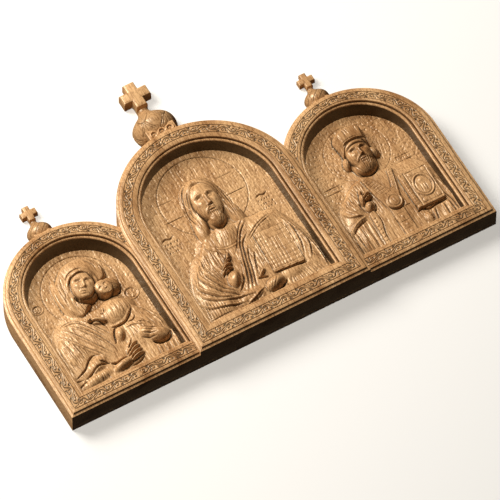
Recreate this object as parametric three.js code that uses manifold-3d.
// A carved wooden triptych: three round-arched icon panels cut from one board,
// the middle one larger and proud of its neighbours, each with an onion dome and
// a cross on its arch. The board lies on its flat back. Millimetres, +X along the
// three panels, +Y up them, +Z out of the carved face.

import * as THREE from "three";
import { mergeVertices } from "three/addons/utils/BufferGeometryUtils.js";
import Module from "manifold-3d";

const wasm = await Module();
wasm.setup();

// ---------------------------------------------------------------- driving sizes

const OVERALL_WIDTH = 300;

const LIP_DROP = 1.4;           // the outer lip lies this far below the panel's face
const LIP_INSET = 2.2;          // width of the lip and the hollow behind it
const HOLLOW_SHARE = [0.45, 0.8];   // where the hollow's lower step starts and ends, of that width
const HOLLOW_DROP = 0.7;        // depth of that step, of the lip's drop
const BAND_INSET = 5;           // outer edge of the vine band
const BAND_WIDTH = 5.4;
const BAND_SINK = 0.5;          // the band's ground is sunk by this much
const ARCH_STEPS = 20;          // facets round one arch
const THROUGH = 1;              // how far a cutting solid runs past what it cuts
const TINY = 0.05;              // overlap that makes two joined solids one

const CENTRE = {
  axis: 0,
  halfWidth: 60.2,
  spring: 90.3,                 // height where the outer arch starts
  springRise: 1.6,              // the inner arch starts this much higher
  baseShare: 0.95,              // width of the base rail against the side rails
  face: 20.4,                   // thickness at the carved face
  niche: 7.0,                   // level of the ground behind the figure
  rail: 14.2,                   // frame width from the edge to the inner groove
  bead: 1.9,                    // width of the bead round the niche
  cell: 3.5,                    // size of one facet of the figure
};

const SIDE = {
  axis: 99,
  halfWidth: OVERALL_WIDTH / 2 - 99,
  spring: 74.65,
  springRise: 3.1,
  baseShare: 0.9,
  face: 16.6,
  niche: 4.6,
  rail: 12.7,
  bead: 2.2,
  cell: 3.5,
};

const GROOVE_WIDTH = 0.5;       // groove between the rail and the bead
const BEAD_DROP = 2.0;          // the bead round the niche lies below the face
const BEAD_CROWN = 0.6;         // how far the bead stands up from the groove
const NICHE_DRAFT = 1.2;        // the niche walls close in by this much
const RELIEF_FOOT = 1.5;        // how far the carved figure's block reaches into the board
const RELIEF_SEAT = 0.4;        // how far it reaches under the bead

const DOME_RADIUS = 14.8;       // centre dome; the side domes are the same at a smaller scale
const SIDE_FINIAL_SCALE = 0.57;
const FINIAL = {
  drumHalfWidth: 9.8,
  drumFront: 12.4,
  drumTop: 8.9,                 // heights above the crown of the arch
  drumFoot: -8,                 // the drum reaches down into the arch
  underside: 4.6,
  rimRadius: 10.7,
  rim: 7.6,
  belly: 13.8,
  bellyPull: 7,                 // how long the curve stays full above the belly
  neckPull: 6,                  // how long it stays narrow below the neck
  neck: 29.5,
  neckRadius: 3.9,
  neckTop: 35.3,
  crossCentre: 39.3,
  crossReach: 9.5,
  crossHalfBar: 3.9,
  crossDepth: 8.0,
  crossChamfer: 2.0,
  crossBevel: 1.6,
};
const DOME_FACETS = 24;
const BULGE_STEPS = 7;          // facets up each curve of the dome

const WOOD = new THREE.MeshStandardMaterial({ color: 0xc08a52, roughness: 0.42, metalness: 0 });

// ------------------------------------------------------------ solids and shapes

/** The closed solid of a three.js geometry. */
function solid(geometry) {
  const bare = geometry.index ? geometry.toNonIndexed() : geometry.clone();
  bare.deleteAttribute("normal");
  bare.deleteAttribute("uv");
  const merged = mergeVertices(bare, 1e-4);
  return new wasm.Manifold(new wasm.Mesh({
    numProp: 3,
    vertProperties: new Float32Array(merged.attributes.position.array),
    triVerts: new Uint32Array(merged.index.array),
  }));
}

/** The geometry of a finished solid. */
function geometryOf(body) {
  const mesh = body.getMesh();
  const geometry = new THREE.BufferGeometry();
  geometry.setAttribute("position", new THREE.BufferAttribute(mesh.vertProperties, 3));
  geometry.setIndex(new THREE.BufferAttribute(mesh.triVerts, 1));
  geometry.computeVertexNormals();
  return geometry;
}

/** The arched outline of a panel, moved inwards by an inset. */
function archShape(panel, inset) {
  const half = panel.halfWidth - inset;
  const spring = panel.spring + panel.springRise * inset / panel.rail;
  const shape = new THREE.Shape();
  shape.moveTo(-half, inset * panel.baseShare);
  shape.lineTo(half, inset * panel.baseShare);
  shape.absarc(0, spring, half, 0, Math.PI);
  shape.closePath();
  return shape;
}

/** A slab with a panel's arched outline, from one level to another. */
function archSlab(panel, inset, from, to) {
  const settings = { depth: to - from, bevelEnabled: false, curveSegments: ARCH_STEPS };
  const slab = new THREE.ExtrudeGeometry(archShape(panel, inset), settings);
  return solid(slab.translate(0, 0, from));
}

/** An arched slab whose sides lean from one inset at the bottom to another at the top. */
function leaningArch(panel, lowInset, highInset, from, to) {
  const low = archSlab(panel, lowInset, from, from + TINY);
  const high = archSlab(panel, highInset, to - TINY, to);
  return wasm.Manifold.hull([low, high]);
}

/** A ring between two insets, used to sink or raise a band of the frame. */
function archRing(panel, outerInset, innerInset, from, to) {
  const outer = archSlab(panel, outerInset, from, to);
  return outer.subtract(archSlab(panel, innerInset, from - THROUGH, to + THROUGH));
}

// --------------------------------------------------------------- carved figures

/** Height of a rounded mass over an ellipse; square makes its plan and crown flatter. */
function mass(x, y, { at, radii, turn = 0, height, square = 2 }) {
  const cos = Math.cos(turn);
  const sin = Math.sin(turn);
  const u = Math.abs(((x - at[0]) * cos + (y - at[1]) * sin) / radii[0]);
  const v = Math.abs(((y - at[1]) * cos - (x - at[0]) * sin) / radii[1]);
  const reach = u ** square + v ** square;
  return reach < 1 ? height * Math.sqrt(1 - reach) : 0;
}

/** Height of a cloth fold that runs from one point to another and bows sideways. */
function fold(x, y, { from, to, bow = 0, width, height }) {
  const steps = 8;
  const along = [to[0] - from[0], to[1] - from[1]];
  const length = Math.hypot(...along);
  const across = [-along[1] / length, along[0] / length];
  let nearest = Infinity;
  for (let step = 0; step <= steps; step += 1) {
    const t = step / steps;
    const swing = 4 * bow * t * (1 - t);
    const px = from[0] + along[0] * t + across[0] * swing;
    const py = from[1] + along[1] * t + across[1] * swing;
    nearest = Math.min(nearest, Math.hypot(x - px, y - py));
  }
  return nearest < width ? height * Math.cos((nearest / width) * Math.PI / 2) : 0;
}

const HALF_FIGURE = {
  masses: [
    { part: "cloak", at: [1, 10], radii: [44, 68], height: 4.2, square: 2.6 },
    { part: "chest", at: [0, 44], radii: [24, 32], height: 5.4 },
    { part: "raised arm", at: [-29, 40], radii: [12, 29], turn: -0.22, height: 6.8 },
    { part: "forearm", at: [-22, 30], radii: [15, 8], turn: 0.75, height: 7.6 },
    { part: "far arm", at: [35, 38], radii: [8, 28], turn: 0.16, height: 6.4 },
    { part: "neck", at: [-0.5, 77], radii: [8, 11], height: 5.2 },
    { part: "hair", at: [-0.5, 96], radii: [14.5, 18], height: 6.2, square: 2.4 },
    { part: "near lock", at: [-11, 81], radii: [5, 15], turn: -0.15, height: 5.4 },
    { part: "far lock", at: [10.5, 81], radii: [5, 15], turn: 0.15, height: 5.4 },
    { part: "head", at: [-1, 98], radii: [9, 14], height: 10 },
    { part: "beard", at: [-1, 85], radii: [6.5, 10], height: 8.6 },
    { part: "book", at: [21.5, 46], radii: [12, 20.5], turn: -0.04, height: 7, square: 8 },
    { part: "blessing hand", at: [-14, 41], radii: [5.5, 8.5], turn: -0.35, height: 9 },
    { part: "raised fingers", at: [-9.5, 51], radii: [3, 6], turn: -0.5, height: 8.6 },
    { part: "holding hand", at: [5, 23], radii: [8, 5.5], turn: 0.2, height: 9 },
    { part: "cuff", at: [-8, 18], radii: [12, 6], turn: 0.25, height: 6.6 },
  ],
  folds: [
    { from: [-34, 62], to: [-4, 22], bow: 7, width: 3.4, height: 1.6 },
    { from: [-27, 64], to: [2, 28], bow: 6, width: 3, height: 1.4 },
    { from: [-42, 44], to: [-12, 17], bow: 5, width: 3.4, height: 1.5 },
    { from: [-6, 74], to: [-2, 30], bow: -5, width: 3, height: 1.3 },
    { from: [4, 66], to: [31, 74], bow: 2, width: 3, height: 1.4 },
    { from: [35, 62], to: [41, 22], bow: -3, width: 3, height: 1.5 },
  ],
};

const MOTHER_AND_CHILD = {
  masses: [
    { part: "cloak", at: [-3, 8], radii: [36, 57], height: 4.2, square: 2.8 },
    { part: "near shoulder", at: [-24, 38], radii: [13, 26], turn: -0.15, height: 6.6 },
    { part: "breast", at: [-7, 38], radii: [13, 30], turn: 0.25, height: 6.2 },
    { part: "veil", at: [0.5, 81], radii: [16, 19.5], turn: 0.2, height: 6.8, square: 2.3 },
    { part: "veil's fall", at: [-12, 66], radii: [8, 18], turn: -0.2, height: 5.6 },
    { part: "head", at: [2, 79], radii: [8.6, 11.5], turn: 0.45, height: 9 },
    { part: "neck", at: [-2, 66], radii: [6, 8], height: 5.6 },
    { part: "child's head", at: [11.5, 72], radii: [7.4, 7.4], height: 8.6 },
    { part: "child's body", at: [11, 55], radii: [13, 13], turn: -0.3, height: 7.4 },
    { part: "child's arm", at: [-3, 54], radii: [8, 3.6], turn: -0.4, height: 7.2 },
    { part: "child's legs", at: [20, 39], radii: [14, 9], turn: 0.6, height: 7 },
    { part: "far hand", at: [28, 27], radii: [8, 7], turn: -0.5, height: 8 },
    { part: "near hand", at: [3, 20], radii: [12, 5], turn: 0.25, height: 7.8 },
    { part: "sleeve", at: [-19, 20], radii: [16, 7], turn: 0.3, height: 6.6 },
  ],
  folds: [
    { from: [-22, 60], to: [0, 24], bow: -3, width: 2.8, height: 1.3 },
    { from: [-15, 60], to: [3, 32], bow: -3, width: 2.6, height: 1.3 },
    { from: [-33, 48], to: [-28, 20], bow: 2, width: 2.8, height: 1.5 },
    { from: [-36, 24], to: [-12, 26], bow: 5, width: 2.8, height: 1.5 },
  ],
};

const BISHOP = {
  masses: [
    { part: "vestment", at: [1, 8], radii: [36, 56], height: 4.2, square: 2.8 },
    { part: "near sleeve", at: [-25, 30], radii: [12, 26], turn: -0.25, height: 6.4 },
    { part: "far shoulder", at: [20, 42], radii: [14, 22], turn: 0.2, height: 5.4 },
    { part: "stole", at: [0.5, 32], radii: [6, 34], height: 6.2, square: 4 },
    { part: "near tuft of hair", at: [-11, 77], radii: [3.4, 4.4], height: 6.6 },
    { part: "far tuft of hair", at: [10.5, 78], radii: [3.4, 4.4], height: 6.6 },
    { part: "head", at: [-0.5, 80], radii: [9, 12], height: 9.4 },
    { part: "beard", at: [-1, 71], radii: [8.4, 9], height: 9 },
    { part: "mitre", at: [-0.5, 92], radii: [12.6, 9], height: 8.8, square: 3.4 },
    { part: "medallion", at: [1.5, 39], radii: [5.6, 5.6], height: 7.6, square: 4 },
    { part: "book", at: [21.5, 43], radii: [11.4, 17], turn: -0.08, height: 7.2, square: 8 },
    { part: "holding hand", at: [18, 25], radii: [9, 5], height: 8.6 },
    { part: "blessing hand", at: [-14, 45], radii: [4.6, 7.4], turn: -0.3, height: 8.8 },
    { part: "forearm", at: [-16, 29], radii: [5, 13], height: 7 },
  ],
  folds: [
    { from: [-34, 44], to: [-34, 14], bow: 3, width: 2.8, height: 1.4 },
    { from: [-27, 52], to: [-25, 14], bow: 3, width: 2.8, height: 1.4 },
    { from: [-9, 58], to: [-8, 14], bow: -1, width: 2.6, height: 1.2 },
    { from: [10, 24], to: [9, 13], width: 2.4, height: 1.4 },
  ],
};

/** Height of a whole figure above its ground. */
function figureHeight(figure, x, y) {
  const body = Math.max(...figure.masses.map((one) => mass(x, y, one)));
  const folds = Math.max(...figure.folds.map((one) => fold(x, y, one)));
  return body > 0 ? body + folds : 0;
}

/** The figure's block: a finely divided box whose front follows the carving. */
function figureBlock(panel, figure) {
  const half = panel.halfWidth - panel.rail;
  const low = panel.rail * panel.baseShare;
  const high = panel.spring + panel.springRise + half;
  const columns = Math.round(2 * half / panel.cell);
  const rows = Math.round((high - low) / panel.cell);
  const box = new THREE.BoxGeometry(2 * half, high - low, 2, columns, rows, 1);
  box.translate(0, (high + low) / 2, 0);
  const points = box.attributes.position;
  for (let i = 0; i < points.count; i += 1) {
    const front = points.getZ(i) > 0;
    const height = front ? figureHeight(figure, points.getX(i), points.getY(i)) - TINY : -RELIEF_FOOT;
    points.setZ(i, panel.niche + height);
  }
  return solid(box);
}

// ------------------------------------------------------------- panels and finials

/** One arched panel: board, moulded frame, niche and figure. */
function carvedPanel(panel, figure) {
  const groove = panel.rail - GROOVE_WIDTH;
  const beadInner = panel.rail + panel.bead;
  let board = archSlab(panel, 0, 0, panel.face - LIP_DROP);
  const hollowTop = panel.face - LIP_DROP * HOLLOW_DROP;
  const [hollowStart, hollowEnd] = HOLLOW_SHARE.map((share) => share * LIP_INSET);
  board = board.add(leaningArch(panel, hollowStart, hollowEnd, THROUGH, hollowTop));
  board = board.add(archSlab(panel, LIP_INSET, THROUGH, panel.face));
  const bandEnd = BAND_INSET + BAND_WIDTH;
  const bandFloor = panel.face - BAND_SINK;
  board = board.subtract(archRing(panel, BAND_INSET, bandEnd, bandFloor, panel.face + THROUGH));
  const beadTop = panel.face - BEAD_DROP;
  board = board.subtract(archSlab(panel, groove, beadTop, panel.face + THROUGH));
  const bead = archRing(panel, panel.rail, beadInner, panel.niche, beadTop + BEAD_CROWN);
  const wellTop = panel.face + THROUGH;
  const well = leaningArch(panel, beadInner + NICHE_DRAFT, beadInner, panel.niche, wellTop);
  const seat = archSlab(panel, beadInner - RELIEF_SEAT, 0, panel.face);
  const carving = figureBlock(panel, figure).intersect(seat);
  return board.add(bead).subtract(well).add(carving);
}

/** The dome's outline, from its rim up to the neck, as it is turned on a lathe. */
function domeProfile() {
  const { underside, rimRadius, rim, belly, bellyPull, neckPull, neck, neckRadius, neckTop } = FINIAL;
  const outline = new THREE.CurvePath();
  const point = (radius, height) => new THREE.Vector2(radius, height);
  outline.add(new THREE.LineCurve(point(0, underside), point(rimRadius, underside)));
  outline.add(new THREE.QuadraticBezierCurve(
    point(rimRadius, underside), point(DOME_RADIUS, rim), point(DOME_RADIUS, belly)));
  outline.add(new THREE.CubicBezierCurve(
    point(DOME_RADIUS, belly), point(DOME_RADIUS, belly + bellyPull),
    point(neckRadius, neck - neckPull), point(neckRadius, neck)));
  outline.add(new THREE.LineCurve(point(neckRadius, neck), point(neckRadius, neckTop)));
  outline.add(new THREE.LineCurve(point(neckRadius, neckTop), point(0, neckTop)));
  return outline.curves.flatMap((curve, index) => {
    const divisions = curve instanceof THREE.LineCurve ? 1 : BULGE_STEPS;
    return curve.getPoints(divisions).slice(index === 0 ? 0 : 1);
  });
}

/** A cross with equal arms and chamfered front edges. */
function crossSolid() {
  const { crossCentre, crossReach, crossHalfBar, crossDepth, crossChamfer, crossBevel } = FINIAL;
  const points = [];
  const corners = [[crossHalfBar, crossReach], [crossHalfBar, crossHalfBar], [crossReach, crossHalfBar]];
  for (let quarter = 0; quarter < 4; quarter += 1) {
    for (const [x, y] of corners) {
      const turned = new THREE.Vector2(x, y).rotateAround(new THREE.Vector2(), -quarter * Math.PI / 2);
      points.push(turned);
    }
  }
  const outline = new THREE.Shape(points);
  const settings = {
    depth: crossDepth - crossChamfer,
    bevelEnabled: true,
    bevelThickness: crossChamfer,
    bevelSize: crossBevel,
    bevelOffset: -crossBevel,
    bevelSegments: 1,
  };
  return solid(new THREE.ExtrudeGeometry(outline, settings).translate(0, crossCentre, 0));
}

/** A drum, half-round onion dome and cross, standing on the crown of a panel's arch. */
function finial(panel, scale) {
  const { drumHalfWidth, drumFront, drumTop, drumFoot, crossCentre } = FINIAL;
  const reach = crossCentre + DOME_RADIUS;
  const front = solid(new THREE.BoxGeometry(2 * reach, 2 * reach, reach).translate(0, 0, reach / 2));
  const dome = solid(new THREE.LatheGeometry(domeProfile(), DOME_FACETS));
  const drum = solid(new THREE.BoxGeometry(2 * drumHalfWidth, drumTop - drumFoot, drumFront)
    .translate(0, (drumTop + drumFoot) / 2, drumFront / 2));
  const whole = dome.add(crossSolid()).intersect(front).add(drum);
  const crown = panel.spring + panel.halfWidth;
  return whole.scale([scale, scale, scale]).translate([0, crown, 0]);
}

// ------------------------------------------------------------------ the triptych

const centre = carvedPanel(CENTRE, HALF_FIGURE).add(finial(CENTRE, 1));
const room = archSlab(CENTRE, TINY, -THROUGH, CENTRE.face + THROUGH);
const sides = [[MOTHER_AND_CHILD, -SIDE.axis], [BISHOP, SIDE.axis]].map(([figure, shift]) => {
  const wing = carvedPanel(SIDE, figure).add(finial(SIDE, SIDE_FINIAL_SCALE));
  return wing.translate([shift, 0, 0]).subtract(room);
});
const whole = sides.reduce((joined, wing) => joined.add(wing), centre);

const height = CENTRE.spring + CENTRE.halfWidth + FINIAL.crossCentre + FINIAL.crossReach;
const triptych = new THREE.Mesh(geometryOf(whole), WOOD);
triptych.name = "carved_triptych";
triptych.position.y = -height / 2;

const part = new THREE.Group();
part.add(triptych);

export default part;
